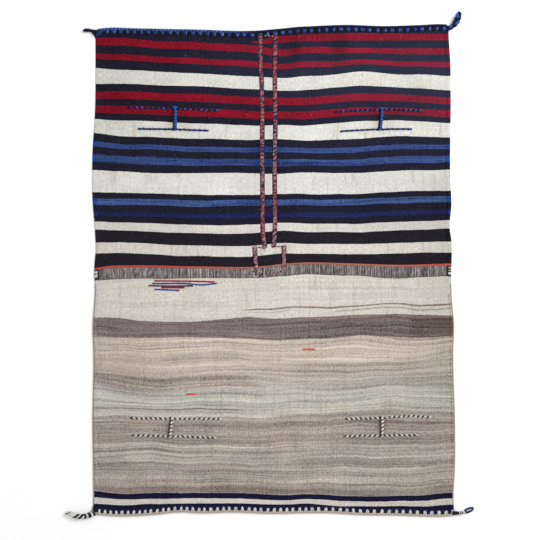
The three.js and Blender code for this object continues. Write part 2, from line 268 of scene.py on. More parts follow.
class Shader:
    """A material's node tree, with short calls for the nodes that wool needs."""

    def __init__(self, name, roughness, sheen):
        self.material = bpy.data.materials.new(name)
        self.material.use_nodes = True
        self.tree = self.material.node_tree
        self.surface = self.tree.nodes["Principled BSDF"]
        self.surface.inputs["Roughness"].default_value = roughness
        self.surface.inputs["Specular IOR Level"].default_value = 0.06
        self.surface.inputs["Sheen Weight"].default_value = sheen
        self.surface.inputs["Sheen Roughness"].default_value = 0.5

    def put(self, value, socket):
        if isinstance(value, bpy.types.NodeSocket):
            self.tree.links.new(value, socket)
        else:
            socket.default_value = value

    def node(self, kind, **settings):
        made = self.tree.nodes.new(kind)
        for name, value in settings.items():
            setattr(made, name, value)
        return made

    def math(self, operation, *values):
        made = self.node("ShaderNodeMath", operation=operation)
        for value, socket in zip(values, made.inputs):
            self.put(value, socket)
        return made.outputs[0]

    def mix(self, factor, a, b, blend="MIX"):
        made = self.node("ShaderNodeMix", data_type="RGBA", blend_type=blend)
        for value, name in ((factor, "Factor_Float"), (a, "A_Color"), (b, "B_Color")):
            self.put(value, next(s for s in made.inputs if s.identifier == name))
        return next(s for s in made.outputs if s.identifier == "Result_Color")

    def scaled(self, colour, factor):
        """A colour made lighter or darker by a factor."""
        made = self.node("ShaderNodeVectorMath", operation="SCALE")
        self.put(colour[:3] if isinstance(colour, tuple) else colour, made.inputs[0])
        self.put(factor, made.inputs["Scale"])
        return made.outputs[0]

    def attribute(self, name, output="Fac"):
        return self.node("ShaderNodeAttribute", attribute_name=name).outputs[output]

    def uv(self, name):
        made = self.node("ShaderNodeUVMap", uv_map=name)
        parts = self.node("ShaderNodeSeparateXYZ")
        self.put(made.outputs[0], parts.inputs[0])
        return parts.outputs[0], parts.outputs[1]

    def place(self, x, y, z=0.0):
        made = self.node("ShaderNodeCombineXYZ")
        for value, socket in zip((x, y, z), made.inputs):
            self.put(value, socket)
        return made.outputs[0]

    def grain(self, x, level, per_x, per_level, seed, detail=2.0):
        """Noise about 0, drawn out along or across the wefts."""
        where = self.place(self.math("MULTIPLY", x, per_x), self.math("MULTIPLY", level, per_level), seed)
        return self.math("SUBTRACT", self.noise(where, 1.0, detail), 0.5)

    def total(self, first, *parts):
        """The first value plus each (amount, value) product."""
        for amount, value in parts:
            first = self.math("MULTIPLY_ADD", value, amount, first)
        return first

    def odd_weft(self, x, level, at, thick, start, stop, strength):
        """How much of one odd weft shows here: it fades out at its ends."""
        away = self.math("ABSOLUTE", self.math("SUBTRACT", level, at * MM))
        on = self.between(away, thick * 0.2 * MM, thick * 0.75 * MM, strength, 0.0)
        begun = self.between(x, (start - 25) * MM, (start + 25) * MM)
        going = self.between(x, (stop - 25) * MM, (stop + 25) * MM, 1.0, 0.0)
        return self.math("MULTIPLY", on, self.math("MULTIPLY", begun, going))

    def noise(self, where, scale, detail=2.0, roughness=0.5):
        made = self.node("ShaderNodeTexNoise")
        self.put(where, made.inputs["Vector"])
        made.inputs["Scale"].default_value = scale
        made.inputs["Detail"].default_value = detail
        made.inputs["Roughness"].default_value = roughness
        return made.outputs["Fac"]

    def between(self, value, low, high, to_low=0.0, to_high=1.0):
        made = self.node("ShaderNodeMapRange", interpolation_type="SMOOTHSTEP")
        for part, socket in zip((value, low, high, to_low, to_high), made.inputs):
            self.put(part, socket)
        return made.outputs[0]

    def ramp(self, value, stops, interpolation):
        made = self.node("ShaderNodeValToRGB")
        self.put(value, made.inputs[0])
        made.color_ramp.interpolation = interpolation
        elements = made.color_ramp.elements
        while len(elements) < len(stops):
            elements.new(1.0)
        for element, (position, colour) in zip(elements, stops):
            element.position = position
            element.color = (*linear(colour)[:3], colour[3] if len(colour) > 3 else 1.0)
        return made.outputs[0], made.outputs[1]

    def bump(self, height, distance, strength):
        made = self.node("ShaderNodeBump")
        self.put(height, made.inputs["Height"])
        made.inputs["Distance"].default_value = distance
        made.inputs["Strength"].default_value = strength
        self.put(made.outputs[0], self.surface.inputs["Normal"])


# ------------------------------------------------------------------ the cloth's wool

RAMP_LENGTH = 0.72  # metres of levels that one ramp of stripes covers
WARP_PITCH = 0.0034
WEFT_PITCH = 0.0013
BLUE_STREAK = 0.4  # an upper stripe streakier than this is one of the blue ones
SELVEDGE_BLUE = (26, 62, 150)
UNFADED_BLUE = (18, 30, 96)


def stripe_stops(stripes, direction):
    """Ramp stops for stripes, counted upwards (1) or downwards (-1) from level 0."""
    bounds = [0.0, *[low for low, _ in stripes]] if direction < 0 else [low for low, _ in stripes]
    stops = [(direction * bound * MM / RAMP_LENGTH, colour) for bound, (_, colour) in zip(bounds, stripes)]
    return sorted(stops)


def cloth_wool():
    s = Shader("striped_wool", roughness=0.95, sheen=0.03)
    x, level = s.uv("weave")

    # Each weft turns round the warps, so a stripe's edge is a fine uneven comb.
    comb = s.math("SINE", s.math("MULTIPLY", x, math.pi / WARP_PITCH))
    ragged = s.grain(x, level, 260.0, 260.0, 1.0)
    uneven_beat = s.grain(x, level, 9.0, 7.0, 11.0)
    row = s.total(level, (0.0002, comb), (0.0028, ragged), (0.008, uneven_beat))

    up, down = s.math("DIVIDE", row, RAMP_LENGTH), s.math("DIVIDE", row, -RAMP_LENGTH)
    upper, upper_streak = s.ramp(up, stripe_stops(UPPER_STRIPES, 1), "CONSTANT")
    lower, lower_streak = s.ramp(down, stripe_stops(LOWER_STRIPES, -1), "CONSTANT")
    # The undyed yarn changes shade in long wavering streaks.
    waver = s.total(row, (0.035, s.grain(x, level, 4.0, 8.0, 2.0)))
    field_stops = [(-bound * MM / RAMP_LENGTH, colour) for bound, colour in UNDYED_FIELD]
    field, _ = s.ramp(s.math("DIVIDE", waver, -RAMP_LENGTH), field_stops, "LINEAR")
    below_top = s.math("LESS_THAN", row, FIELD_TOP * MM)
    in_field = s.math("MULTIPLY", below_top, s.math("GREATER_THAN", row, FIELD_FOOT * MM))
    is_upper = s.math("GREATER_THAN", row, 0.0)
    colour = s.mix(in_field, s.mix(is_upper, lower, upper), field)
    colour = s.mix(s.math("GREATER_THAN", s.attribute("red_wedge"), 0.0), colour, linear(CRIMSON))
    upper_part = s.math("MULTIPLY", upper_streak, is_upper)
    streaky = s.total(upper_part, (s.math("SUBTRACT", 1.0, is_upper), lower_streak))
    for at, thick, start, stop, strength, shade in ODD_WEFTS:
        colour = s.mix(s.odd_weft(x, waver, at, thick, start, stop, strength), colour, linear(shade))

    # Near the selvedges the blue stripes turn a brighter blue, and painted shade darkens a line
    # down inside the right-hand one, where it creases.
    from_left, from_right = s.attribute("from_left"), s.attribute("from_right")
    nearest = s.math("MINIMUM", from_left, from_right)
    nearest = s.total(nearest, (0.004, s.grain(x, level, 20.0, 160.0, 12.0)))
    is_blue = s.math("GREATER_THAN", upper_part, BLUE_STREAK)
    bright = s.math("MULTIPLY", is_blue, s.between(nearest, 0.009, 0.012, 0.85, 0.0))
    colour = s.mix(bright, colour, linear(SELVEDGE_BLUE))
    colour = s.mix(s.math("MULTIPLY", is_blue, s.attribute("neck")), colour, linear(UNFADED_BLUE))
    off_crease = s.math("ABSOLUTE", s.math("SUBTRACT", from_right, 0.0112))
    crease_shade = s.math("MULTIPLY", s.between(off_crease, 0.0008, 0.0030, 1.0, 0.0), is_upper)

    # Dark wool shows its unevenness more than pale wool does.
    brightness = s.node("ShaderNodeRGBToBW")
    s.put(colour, brightness.inputs[0])
    depth = s.between(brightness.outputs[0], 0.02, 0.6, 2.1, 0.85)
    fuzz = s.grain(x, level, 520.0, 520.0, 3.0)
    flecks = s.grain(x, level, 210.0, 330.0, 13.0)
    uneven = s.total(
        s.grain(x, level, 300.0, 120.0, 4.0),
        (0.35, s.grain(x, level, 290.0, 7.0, 5.0)),
        (0.30, s.grain(x, level, 14.0, 18.0, 6.0)),
        (0.35, fuzz),
    )
    streaks = s.total(
        0.0,
        (2.3, s.grain(x, waver, 1.6, 80.0, 7.0)),
        (2.3, s.grain(x, waver, 2.2, 260.0, 8.0)),
    )
    light = s.total(1.0, (depth, uneven), (streaky, s.total(streaks, (1.1, flecks))))
    # The tone attribute is painted light: uneven lighting and the folds' light and shade.
    light = s.math("MULTIPLY", s.math("MAXIMUM", light, 0.25), s.attribute("tone"))
    # Painted shade in the crease: the colour is darkened along the crease line.
    painted_crease_shade = s.math("MULTIPLY", crease_shade, s.between(depth, 1.2, 2.0, 0.08, 0.5))
    light = s.math("MULTIPLY", light, s.math("SUBTRACT", 1.0, painted_crease_shade))
    colour = s.scaled(colour, light)
    # Painted sheen: a bluish haze of light is added to the dark wool in the sheen patches.
    painted_sheen = s.math("MULTIPLY", s.attribute("painted_sheen"), s.between(brightness.outputs[0], 0.02, 0.12, 1.0, 0.15))
    colour = s.mix(painted_sheen, colour, (0.010, 0.014, 0.026, 1.0), "ADD")

    # Smears of old dirt run along the warps of the pale stripes.
    smear = s.between(s.grain(x, level, 70.0, 9.0, 9.0), 0.04, 0.22, 0.0, 0.35)
    smeared = s.math("MULTIPLY", smear, s.between(depth, 1.7, 1.2, 0.0, 0.8))
    soiled = s.math("MAXIMUM", s.attribute("stain"), smeared)
    colour = s.mix(soiled, colour, linear((206, 180, 156)), "MULTIPLY")
    colour = s.mix(s.attribute("green_grey"), colour, linear((231, 240, 228)), "MULTIPLY")
    lint = s.between(s.grain(x, level, 210.0, 210.0, 10.0, 0.0), 0.345, 0.37, 0.0, 0.45)
    colour = s.mix(lint, colour, linear((150, 152, 160)))

    # The weave: fine ribs over the warps, crossed by the wefts.
    warps = s.math("ABSOLUTE", comb)
    wefts = s.math("SINE", s.math("MULTIPLY", level, 2 * math.pi / WEFT_PITCH))
    s.bump(s.total(0.0, (0.8, warps), (0.25, wefts), (2.6, fuzz)), 0.0006, 0.6)
    # Painted shade: the colour is darkened a little between the warps, in the valleys of the ribs.
    s.put(s.scaled(colour, s.math("MULTIPLY_ADD", warps, 0.12, 0.92)), s.surface.inputs["Base Color"])
    return s.material


def yarn_wool():
    """Wool yarn of any dye: two plies twisted together, with loose fibres."""
    s = Shader("wool_yarn", roughness=0.92, sheen=0.04)
    along, around = s.uv("strand")
    dye = s.attribute("dye", "Color")
    turn = s.math("MULTIPLY_ADD", along, 2 * math.pi / 0.006, s.math("MULTIPLY", around, 4 * math.pi))
    plies = s.math("SINE", turn)
    where = s.node("ShaderNodeTexCoord").outputs["Object"]
    fibres = s.noise(where, 900.0, 3.0, 0.7)
    patches = s.noise(where, 140.0, 1.0)
    light = s.total(0.62, (0.12, plies), (0.55, fibres), (0.25, patches))
    s.put(s.scaled(dye, light), s.surface.inputs["Base Color"])
    s.bump(s.math("MULTIPLY_ADD", fibres, 0.9, plies), 0.0004, 0.7)
    return s.material


# ------------------------------------------------------------------ meshes


def new_object(name, points, faces, material):
    mesh = bpy.data.meshes.new(name)
    mesh.from_pydata((np.asarray(points) * MM).tolist(), [], faces)
    mesh.polygons.foreach_set("use_smooth", [True] * len(mesh.polygons))
    mesh.materials.append(material)
    made = bpy.data.objects.new(name, mesh)
    bpy.context.collection.objects.link(made)
    return made


def add_uv(mesh, name, pairs):
    mesh.uv_layers.new(name=name).uv.foreach_set("vector", np.asarray(pairs, np.float32).ravel())


def add_values(mesh, name, values):
    mesh.attributes.new(name, "FLOAT", "POINT").data.foreach_set("value", np.asarray(values, np.float32))


def stands_for(made, node):
    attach(made, "root")
    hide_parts(node)
    return made


# Brown patches beside the slits' bars and a few older stains: x, y, half width, half
# height, strength.
STAINS = [
    (-306, 446, 12, 34, 0.5), (-262, 438, 20, 34, 0.35), (302, 446, 12, 34, 0.5), (345, 438, 20, 30, 0.3),
    (-312, -462, 7, 28, 0.7), (-292, -460, 7, 28, 0.5), (310, -460, 7, 26, 0.6), (327, -462, 7, 26, 0.5),
    (-312, 560, 40, 14, 0.14), (-440, -270, 120, 60, 0.12), (-420, -330, 60, 110, 0.12),
    (-30, -40, 60, 40, 0.10), (250, 560, 50, 16, 0.12), (160, -230, 150, 40, 0.08),
]

# Grey-green patches of undyed wool and the yellowed right-hand edge, in the same terms.
GREEN_PATCHES = [
    (470, -350, 120, 45, 0.25), (330, -385, 160, 30, 0.25), (-440, -375, 110, 30, 0.3),
    (-180, -385, 160, 26, 0.2), (90, -400, 120, 26, 0.2), (400, -300, 60, 60, 0.2),
    (560, -230, 100, 200, 0.7), (560, 80, 90, 90, 0.5), (540, 330, 80, 60, 0.3),
]
# Painted sheen: where a bluish haze of light lies over the dark wool.
SHEEN_PATCHES = [(480, 560, 260, 170, 1.0), (120, 580, 190, 110, 0.6), (-140, 600, 120, 90, 0.25)]
# Between the neck seams the cloth is less faded.
NECK_PATCHES = [(-30, 280, 48, 160, 0.6)]
# Soft folds that catch the light or lie in shade, in the same terms.
FOLD_SHADES = [
    (-30, 330, 60, 260, -0.09), (62, 650, 15, 45, -0.42), (196, 650, 24, 45, -0.40),
    (262, 650, 55, 40, 0.18), (-460, 500, 30, 60, -0.24), (-320, 185, 70, 40, -0.16),
    (-160, 190, 42, 40, 0.20), (120, 345, 100, 45, 0.16), (-360, 345, 45, 40, 0.10),
    (305, 185, 55, 40, -0.22), (490, 190, 40, 60, -0.20), (430, 500, 40, 60, -0.20),
    (335, 490, 55, 50, -0.14), (-440, 640, 70, 50, -0.08), (-205, 340, 40, 40, -0.12),
]
# Painted light: how brightly lit the cloth looks, at seven places across, from the top down.
PAINTED_LIGHT_PLACES = (-480, -310, -120, 100, 290, 400, 490)
PAINTED_LIGHT = {
    600: (0.84, 0.92, 0.96, 0.95, 0.95, 0.92, 0.89),
    400: (0.84, 0.92, 0.98, 0.97, 0.95, 0.93, 0.90),
    250: (0.92, 0.96, 0.98, 0.95, 0.91, 0.87, 0.82),
    120: (0.87, 0.89, 0.95, 0.97, 0.90, 0.84, 0.80),
    -80: (0.92, 0.93, 0.98, 0.99, 0.94, 0.90, 0.84),
    -250: (0.94, 0.98, 1.00, 0.96, 0.90, 0.85, 0.80),
    -440: (0.95, 0.98, 1.00, 0.98, 0.93, 0.89, 0.82),
    -600: (0.95, 0.97, 0.98, 1.00, 0.98, 0.96, 0.94),
    -678: (0.88, 0.92, 0.95, 0.94, 0.90, 0.86, 0.84),
}


def patches(x, y, places, least=0):
    """Soft round patches, each with its own strength."""
    return np.clip(sum(
        strength * np.exp(-(((x - at_x) / wide) ** 2) - ((y - at_y) / tall) ** 2)
        for at_x, at_y, wide, tall, strength in places
    ), least, 1)


# Painted light: broad lighter and darker areas where the cloth is unevenly lit.
def painted_light_map(x, y):
    heights = sorted(PAINTED_LIGHT)
    lines = np.array([smooth(list(zip(PAINTED_LIGHT_PLACES, PAINTED_LIGHT[height])))(x) for height in heights])
    share = np.interp(y, heights, np.arange(len(heights)))
    low = np.minimum(share.astype(int), len(heights) - 2)
    below = np.take_along_axis(lines, low[None], 0)[0]
    above = np.take_along_axis(lines, low[None] + 1, 0)[0]
    return below + (above - below) * (share - low)


def make_cloth(material):
    """The cloth as one closed sheet: two grids of woven places, joined by a rounded rim."""
    columns, rows = ((172, 236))
    across, level = np.meshgrid(np.linspace(0, 1, columns), np.linspace(LOW_LEVEL, TOP_LEVEL, rows))
    woven_x = -527 + 1052 * across
    y = weft_y(woven_x, level)
    left, right = left_edge(y) + 1.2, right_edge(y) - 1.2
    x = left + (right - left) * across
    low = ripple(x, y)
    high = low + CLOTH_THICKNESS
    edge = np.zeros_like(x, bool)
    edge[0], edge[-1], edge[:, 0], edge[:, -1] = True, True, True, True
    high[edge] -= 0.5
    low[edge] += 0.3

    index = np.arange(x.size).reshape(x.shape)
    rim = np.concatenate([index[0, :-1], index[:-1, -1], index[-1, :0:-1], index[:0:-1, 0]])
    flat = np.stack([x.ravel(), y.ravel()], 1)
    ahead, behind = flat[np.roll(rim, -1)], flat[np.roll(rim, 1)]
    outward = np.stack([(ahead - behind)[:, 1], -(ahead - behind)[:, 0]], 1)
    outward /= np.linalg.norm(outward, axis=1)[:, None]
    middle = (low + high).ravel()[rim] / 2
    rim_points = np.column_stack([flat[rim] + outward * 1.1, middle])

    top = np.column_stack([flat, high.ravel()])
    under = np.column_stack([flat, low.ravel()])
    points = np.concatenate([top, under, rim_points])
    a, b, c, d = index[:-1, :-1], index[:-1, 1:], index[1:, 1:], index[1:, :-1]
    quads = np.stack([a, b, c, d], -1).reshape(-1, 4)
    ring = 2 * x.size + np.arange(len(rim))
    following = np.roll(rim, -1)
    upper_rim = np.column_stack([rim, ring, np.roll(ring, -1), following])
    lower_rim = np.column_stack([ring, rim + x.size, following + x.size, np.roll(ring, -1)])
    faces = np.concatenate([quads, quads[:, ::-1] + x.size, upper_rim, lower_rim])

    made = new_object("cloth", points, faces.tolist(), material)
    mesh = made.data
    source = np.concatenate([np.arange(x.size), np.arange(x.size), rim])
    weave = np.column_stack([woven_x.ravel(), level.ravel()])[source] * MM
    add_uv(mesh, "weave", weave[faces.ravel()])
    wedge = np.minimum(smooth(WEDGE_ABOVE)(x) - y, y - smooth(WEDGE_BELOW)(x))
    wedge = np.where(x < WEDGE_ABOVE[0][0], -5, wedge)
    add_values(mesh, "red_wedge", wedge.ravel()[source])
    for name, values in (
        ("stain", patches(x, y, STAINS)),
        ("green_grey", patches(x, y, GREEN_PATCHES)),
        ("painted_sheen", patches(x, y, SHEEN_PATCHES)),
        ("neck", patches(x, y, NECK_PATCHES)),
        # tone: painted light and shade, from uneven lighting and from the folds.
        ("tone", painted_light_map(x, y) * (1 + patches(x, y, FOLD_SHADES, -0.6))),
        ("from_left", (x - left_edge(y)) * MM),
        ("from_right", (right_edge(y) - x) * MM),
    ):
        add_values(mesh, name, values.ravel()[source])
    stands_for(made, "woven_cloth")
    return made


SUNK = 0.4  # how far below the surface a yarn's ends go


def run_of(path):
    """How far along a path each of its points is."""
    return np.concatenate([[0], np.cumsum(np.linalg.norm(np.diff(path, axis=0), axis=1))])


def across_of(path):
    """The level direction across a path, and the one square to it, at each point."""
    ahead = np.gradient(path, axis=0)
    ahead /= np.maximum(np.linalg.norm(ahead, axis=1), 1e-9)[:, None]
    side = np.column_stack([ahead[:, 1], -ahead[:, 0], np.zeros(len(path))])
    side[np.linalg.norm(side, axis=1) < 1e-3] = (1, 0, 0)
    side /= np.linalg.norm(side, axis=1)[:, None]
    return side, np.cross(side, ahead)


def on_cloth(xy, lift):
    """Places over the cloth, raised from its upper side by lift."""
    return np.column_stack([xy, cloth_top(xy[:, 0], xy[:, 1]) + lift])


class Yarns:
    """Tubes of yarn gathered into one mesh, each with its own dye."""

    def __init__(self):
        self.points, self.faces, self.dyes, self.strand = [], [], [], []
        self.count = 0

    def tube(self, path, radius, dye, sides=6):
        path = np.array(path, float)
        n = len(path)
        radius = np.broadcast_to(np.asarray(radius, float), (n,))
        path[:, 2] = np.maximum(path[:, 2], radius)
        side, normal = across_of(path)
        turn = (2 * math.pi * np.arange(sides) / sides)[None, :, None]
        spokes = np.cos(turn) * side[:, None] + np.sin(turn) * normal[:, None]
        self.points.append((path[:, None] + radius[:, None, None] * spokes).reshape(-1, 3))
        along = run_of(path) * MM + rng.random()

        i, k = np.meshgrid(np.arange(n - 1), np.arange(sides), indexing="ij")
        i, k = i.ravel(), k.ravel()
        after = (k + 1) % sides
        here, there = self.count + i * sides, self.count + (i + 1) * sides
        self.faces.extend(np.column_stack([here + k, there + k, there + after, here + after]).tolist())
        u = np.column_stack([along[i], along[i + 1], along[i + 1], along[i]])
        v = np.column_stack([k, k, k + 1, k + 1]) / sides
        self.strand.append(np.stack([u, v], -1).reshape(-1, 2))
        last = self.count + (n - 1) * sides
        self.faces.append(list(range(self.count, self.count + sides)))
        self.faces.append(list(range(last + sides - 1, last - 1, -1)))
        self.strand.append(np.zeros((2 * sides, 2)))

        colour = np.array(dye, float)
        if colour.ndim == 1:
            colour = np.broadcast_to(colour, (n, len(colour)))
        self.dyes.append(np.repeat(colour, sides, axis=0))
        self.count += n * sides

    def stitch(self, start, end, rise, radius, dye, steps=8, flatness=0.5):
        """A float of yarn that comes out of the cloth at start and goes back in at end."""
        t = np.linspace(0, 1, steps)
        start, end = np.asarray(start, float), np.asarray(end, float)
        xy = start + (end - start) * t[:, None]
        arch = np.sin(math.pi * t) ** flatness
        self.tube(on_cloth(xy, (rise + radius + SUNK) * arch - radius - SUNK), radius, dye)

    def twist(self, path, strands, radius, offset, pitch, sides=6):
        """Strands laid round a path, each with its dye."""
        path = np.asarray(path, float)
        length = run_of(path)
        steps = max(int(length[-1] / (pitch / 7)), 4)
        even = np.linspace(0, length[-1], steps)
        axis = np.column_stack([np.interp(even, length, path[:, k]) for k in range(3)])
        side, normal = across_of(axis)
        scale = np.broadcast_to(np.asarray(offset, float), (steps,))[:, None]
        for k, dye in enumerate(strands):
            turn = (2 * math.pi * (even / pitch + k / len(strands)))[:, None]
            route = axis + scale * (np.cos(turn) * side + np.sin(turn) * normal)
            colour = dye(route) if callable(dye) else dye
            self.tube(route, radius, colour, sides)

    def finished(self, name, material, node, slot):
        made = new_object(name, np.concatenate(self.points), self.faces, material)
        mesh = made.data
        # The faces of each tube come in the order their places along the strand were kept.
        add_uv(mesh, "strand", np.concatenate(self.strand))
        dyes = np.concatenate(self.dyes)
        layer = mesh.color_attributes.new(name="dye", type="FLOAT_COLOR", domain="POINT")
        layer.data.foreach_set("color", dyes.astype(np.float32).ravel())
        return stands_for(made, node)


# ------------------------------------------------------------------ yarns and dyes

DYES = {
    "blue": (36, 58, 118),
    "bright_blue": (56, 90, 172),
    "grey_blue": (84, 104, 152),
    "navy": (26, 29, 58),
    "night": (24, 23, 36),
    "black": (34, 28, 32),
    "cream": (204, 202, 190),
    "white": (208, 208, 202),
    "cool_white": (176, 186, 190),
    "brown": (66, 44, 38),
    "bark": (104, 90, 80),
    "fleece": (174, 163, 150),
    "tan": (190, 174, 160),
    "clay": (164, 142, 130),
    "pink": (186, 104, 104),
    "blush": (190, 146, 148),
    "salmon": (196, 128, 112),
    "mauve": (130, 92, 108),
    "plum": (88, 50, 70),
    "indigo": (56, 46, 78),
    "orange": (192, 76, 64),
    "red": (158, 34, 48),
    "sky": (48, 74, 138),
    "coral": (204, 92, 72),
}


def dye(name, spread=0.12):
    """A named dye, a little lighter or darker from yarn to yarn."""
    shade = 1 + rng.uniform(-spread, spread)
    red, green, blue, _ = linear(DYES[name])
    return (red * shade, green * shade, blue * shade, 1.0)


def along_path(points, spacing):
    """Even places along a line of points, with the direction at each."""
    points = np.asarray(points, float)
    length = run_of(points)
    fine = np.linspace(0, length[-1], 12 * len(points))
    lines = [smooth(list(zip(length, points[:, k])))(fine) for k in range(points.shape[1])]
    curve = np.column_stack(lines)
    travelled = run_of(curve)
    even = np.linspace(0, travelled[-1], max(int(round(travelled[-1] / spacing)), 2) + 1)
    places = np.column_stack([np.interp(even, travelled, curve[:, k]) for k in range(points.shape[1])])
    ahead = np.gradient(places, axis=0)
    ahead /= np.linalg.norm(ahead, axis=1)[:, None]
    return places, ahead


def jitter(size):
    return rng.uniform(-size, size)


# ------------------------------------------------------------------ the two ends

TOP_BLUE_ENDS = -85.0  # the edge cord is bright blue as far as here, then navy


def make_top_border(material):
    """Blue teeth on navy: four yarns to a tooth, joined to the blue cord on the left."""
    yarns = Yarns()
    for dx in (0.0, 3.6, 7.2, 10.8):
        start, end = (-513 + dx, 707 - 0.2 * dx), (-523.5 + dx, 690 + 0.3 * dx)
        yarns.stitch(start, end, 2.4, 2.3, dye("blue", 0.3))
    corner = [(-524, 684, 2.4), (-525.5, 690, 3), (-529, 695, 4), (-535, 699, 5)]
    yarns.tube(along_path(corner, 2.0)[0], 2.2, dye("night", 0))
    x = -504.0
    while x < right_edge(700) - 8:
        joined = x < TOP_BLUE_ENDS
        pitch = (19.5 if x < -380 else 21.7) + jitter(1.4)
        tooth = 9.4 + jitter(1.2)
        lean = jitter(1.6)
        for k in range(5):
            place = x + 2.0 + k * (pitch - tooth) / 5
            head = top_edge(place) - EDGE_CORD + 1.0
            end = (place + lean, head - TWINED_BORDER - 2.0)
            yarns.stitch((place, head), end, 0.8, 1.7, dye("night", 0.25))
        for k in range(4):
            place = x + pitch - tooth + 1.2 + k * (tooth - 2.4) / 3
            head = top_edge(place) - EDGE_CORD + (2.5 if joined else -0.5)
            depth = TWINED_BORDER - (1.5 if joined else 3.0) + (0.8 if 0 < k < 3 else -0.6)
            names = ("blue", "blue", "bright_blue") if k < 2 else ("bright_blue", "grey_blue", "blue")
            end = (place + lean, head - depth)
            yarns.stitch((place, head), end, 1.9, 1.5, dye(rng.choice(names), 0.3))
        x += pitch
    yarns.finished("top_border_yarns", material, "top_twined_border", "blue_yarn")


def make_bottom_border(material):
    """Cream teeth on navy, closer together towards the left, each hooked a little."""
    yarns = Yarns()
    x = left_edge(-710) + 5
    while x < right_edge(-710) - 10:
        share = (x + 530) / 1060
        pitch = 16.6 + 5.2 * share + jitter(1.3)
        tooth = 0.42 * pitch + jitter(0.8)
        lean = 1.5 + jitter(2.0)
        for k in range(4):
            place = x + 1.4 + k * (pitch - tooth) / 4
            foot = bottom_edge(place) + EDGE_CORD - 1.5
            end = (place + lean, foot + TWINED_BORDER + 3.0)
            yarns.stitch((place, foot), end, 0.8, 1.7, dye("navy", 0.15))
        for k in range(3):
            place = x + pitch - tooth + 1.2 + k * (tooth - 2.4) / 2
            foot = bottom_edge(place) + EDGE_CORD - 3.5
            reach = TWINED_BORDER + (1.5 if k == 1 else 0.0) + jitter(0.8)
            name = rng.choice(("white", "cream", "cool_white"))
            yarns.stitch((place, foot), (place + lean, foot + reach), 1.9, 1.6, dye(name, 0.08))
        x += pitch
    yarns.finished("bottom_border_yarns", material, "bottom_twined_border", "navy_yarn")


def edge_path(edge, start, stop, inset, height):
    x = np.arange(start, stop, 6.0)
    y = edge(x) + inset
    return np.column_stack([x, y, ripple(x, y) + height])


def make_edge_cords(material):
    def turning_navy(name):
        """A dye for the left of the top cord that gives way to navy on the right."""
        first, then = np.array(dye(name, 0)), np.array(dye("navy", 0.1))

        def at(route):
            share = 1 / (1 + np.exp((route[:, 0] - TOP_BLUE_ENDS) / 8))
            patchy = 0.9 + 0.25 * np.sin(route[:, 0] / 13.0 + 2.0 * np.sin(route[:, 0] / 31.0))
            return (then + (first - then) * share[:, None]) * np.where(share > 0.5, patchy, 1.0)[:, None]

        return at

    yarns = Yarns()
    path = edge_path(top_edge, -518, 514, -EDGE_CORD / 2, 3.6)
    dyes = [turning_navy("blue"), turning_navy("grey_blue"), turning_navy("blue")]
    yarns.twist(path, dyes, 2.1, 1.8, 11.0)
    yarns.finished("top_cord_yarns", material, "top_edge_cord", "blue_yarn")

    yarns = Yarns()
    path = edge_path(bottom_edge, -531, 530, EDGE_CORD / 2, 3.4)
    yarns.twist(path, [dye("tan", 0), dye("fleece", 0), dye("clay", 0)], 1.8, 1.8, 9.0)
    yarns.twist(path + (0, 0, 0.4), [dye("bark", 0)], 0.6, 2.4, 9.0)
    corner = [(-532, -694, 3), (-533.5, -704, 4.5), (-541, -711.5, 6.5), (-552, -714.5, 7)]
    yarns.tube(along_path(corner, 3.0)[0], 1.3, dye("bark", 0))
    yarns.finished("bottom_cord_yarns", material, "bottom_edge_cord", "tan_yarn")


def make_selvedges(material):
    """The overcast edge cords, each with a line of running stitches beside it."""
    for node, edge, inwards, cord, thread, stitch, gap in (
        ("selvedge_cord_left", left_edge, 1, ("bark", "fleece"), "cool_white", 4.5, 3.5),
        ("selvedge_cord_right", right_edge, -1, ("fleece", "clay"), "brown", 7.0, 3.0),
    ):
        yarns = Yarns()
        y = np.arange(-690.0, -38.0, 5.0)
        x = edge(y) + inwards * 2.2
        path = np.column_stack([x, y, cloth_top(x, y) - 0.3])
        yarns.twist(path, [dye(name) for name in cord], 1.1, 0.7, 9.0)
        at = -650.0
        while at < -70:
            line = edge(at) + inwards * 9.5
            start, end = (line, at), (line + jitter(0.5), at + stitch)
            yarns.stitch(start, end, 0.5, 1.1 if inwards > 0 else 0.7, dye(thread, 0.2), flatness=0.4)
            at += stitch + gap + jitter(1.5) + (14 if rng.random() < 0.12 else 0)
        yarns.finished(f"{node}_yarns", material, node, "brown_yarn")


# ------------------------------------------------------------------ the fold

BAND_LINE = [(-506, -12), (-273, -9.5), (-32, -7), (79, 1.5), (226, -0.5), (373, -7), (508, -2.5)]
BAND_DEPTH = 27.0
ORANGE_CENTRES = [
    (-520, 5), (-480, 11), (-430, 12.3), (-215, 9.3), (-32, 10.5), (35, 18), (79, 20.8),
    (226, 18.2), (373, 13.8), (516, 17.8),
]


def make_band(material):
    """Upright wrapped ribs of mottled black and white wool, from the orange line down."""
    yarns = Yarns()
    middle, orange = smooth(BAND_LINE), smooth(ORANGE_CENTRES)
    x = BAND_LINE[0][0] + 4
    shade = 0.0
    while x < BAND_LINE[-1][0] - 3:
        lean = jitter(0.8) + 1.2 * math.sin(x / 37) + (3.0 * math.sin(x / 21) if 70 < x < 210 else 0)
        shade = -0.35 * shade + rng.gauss(0, 1)
        alike = 0.35 if x < -300 else 0.75
        base = 126 if x < 60 else 116
        levels = [base + 30 * (alike * shade + rng.gauss(0, 1.0 - 0.4 * alike)) for _ in range(6)]
        levels = np.interp(np.linspace(0, 5, 13), range(6), np.clip(levels, 46, 200))
        colours = [linear((v, v * 0.955, v * 0.945)) for v in levels]
        start, end = (x - lean / 2, orange(x) - 2.0), (x + lean / 2, middle(x) - BAND_DEPTH / 2)
        yarns.stitch(start, end, 1.1 + jitter(0.3), 1.35, colours, steps=13, flatness=0.35)
        x += 2.35
    yarns.finished("middle_band_yarns", material, "middle_band", "grey_yarn")


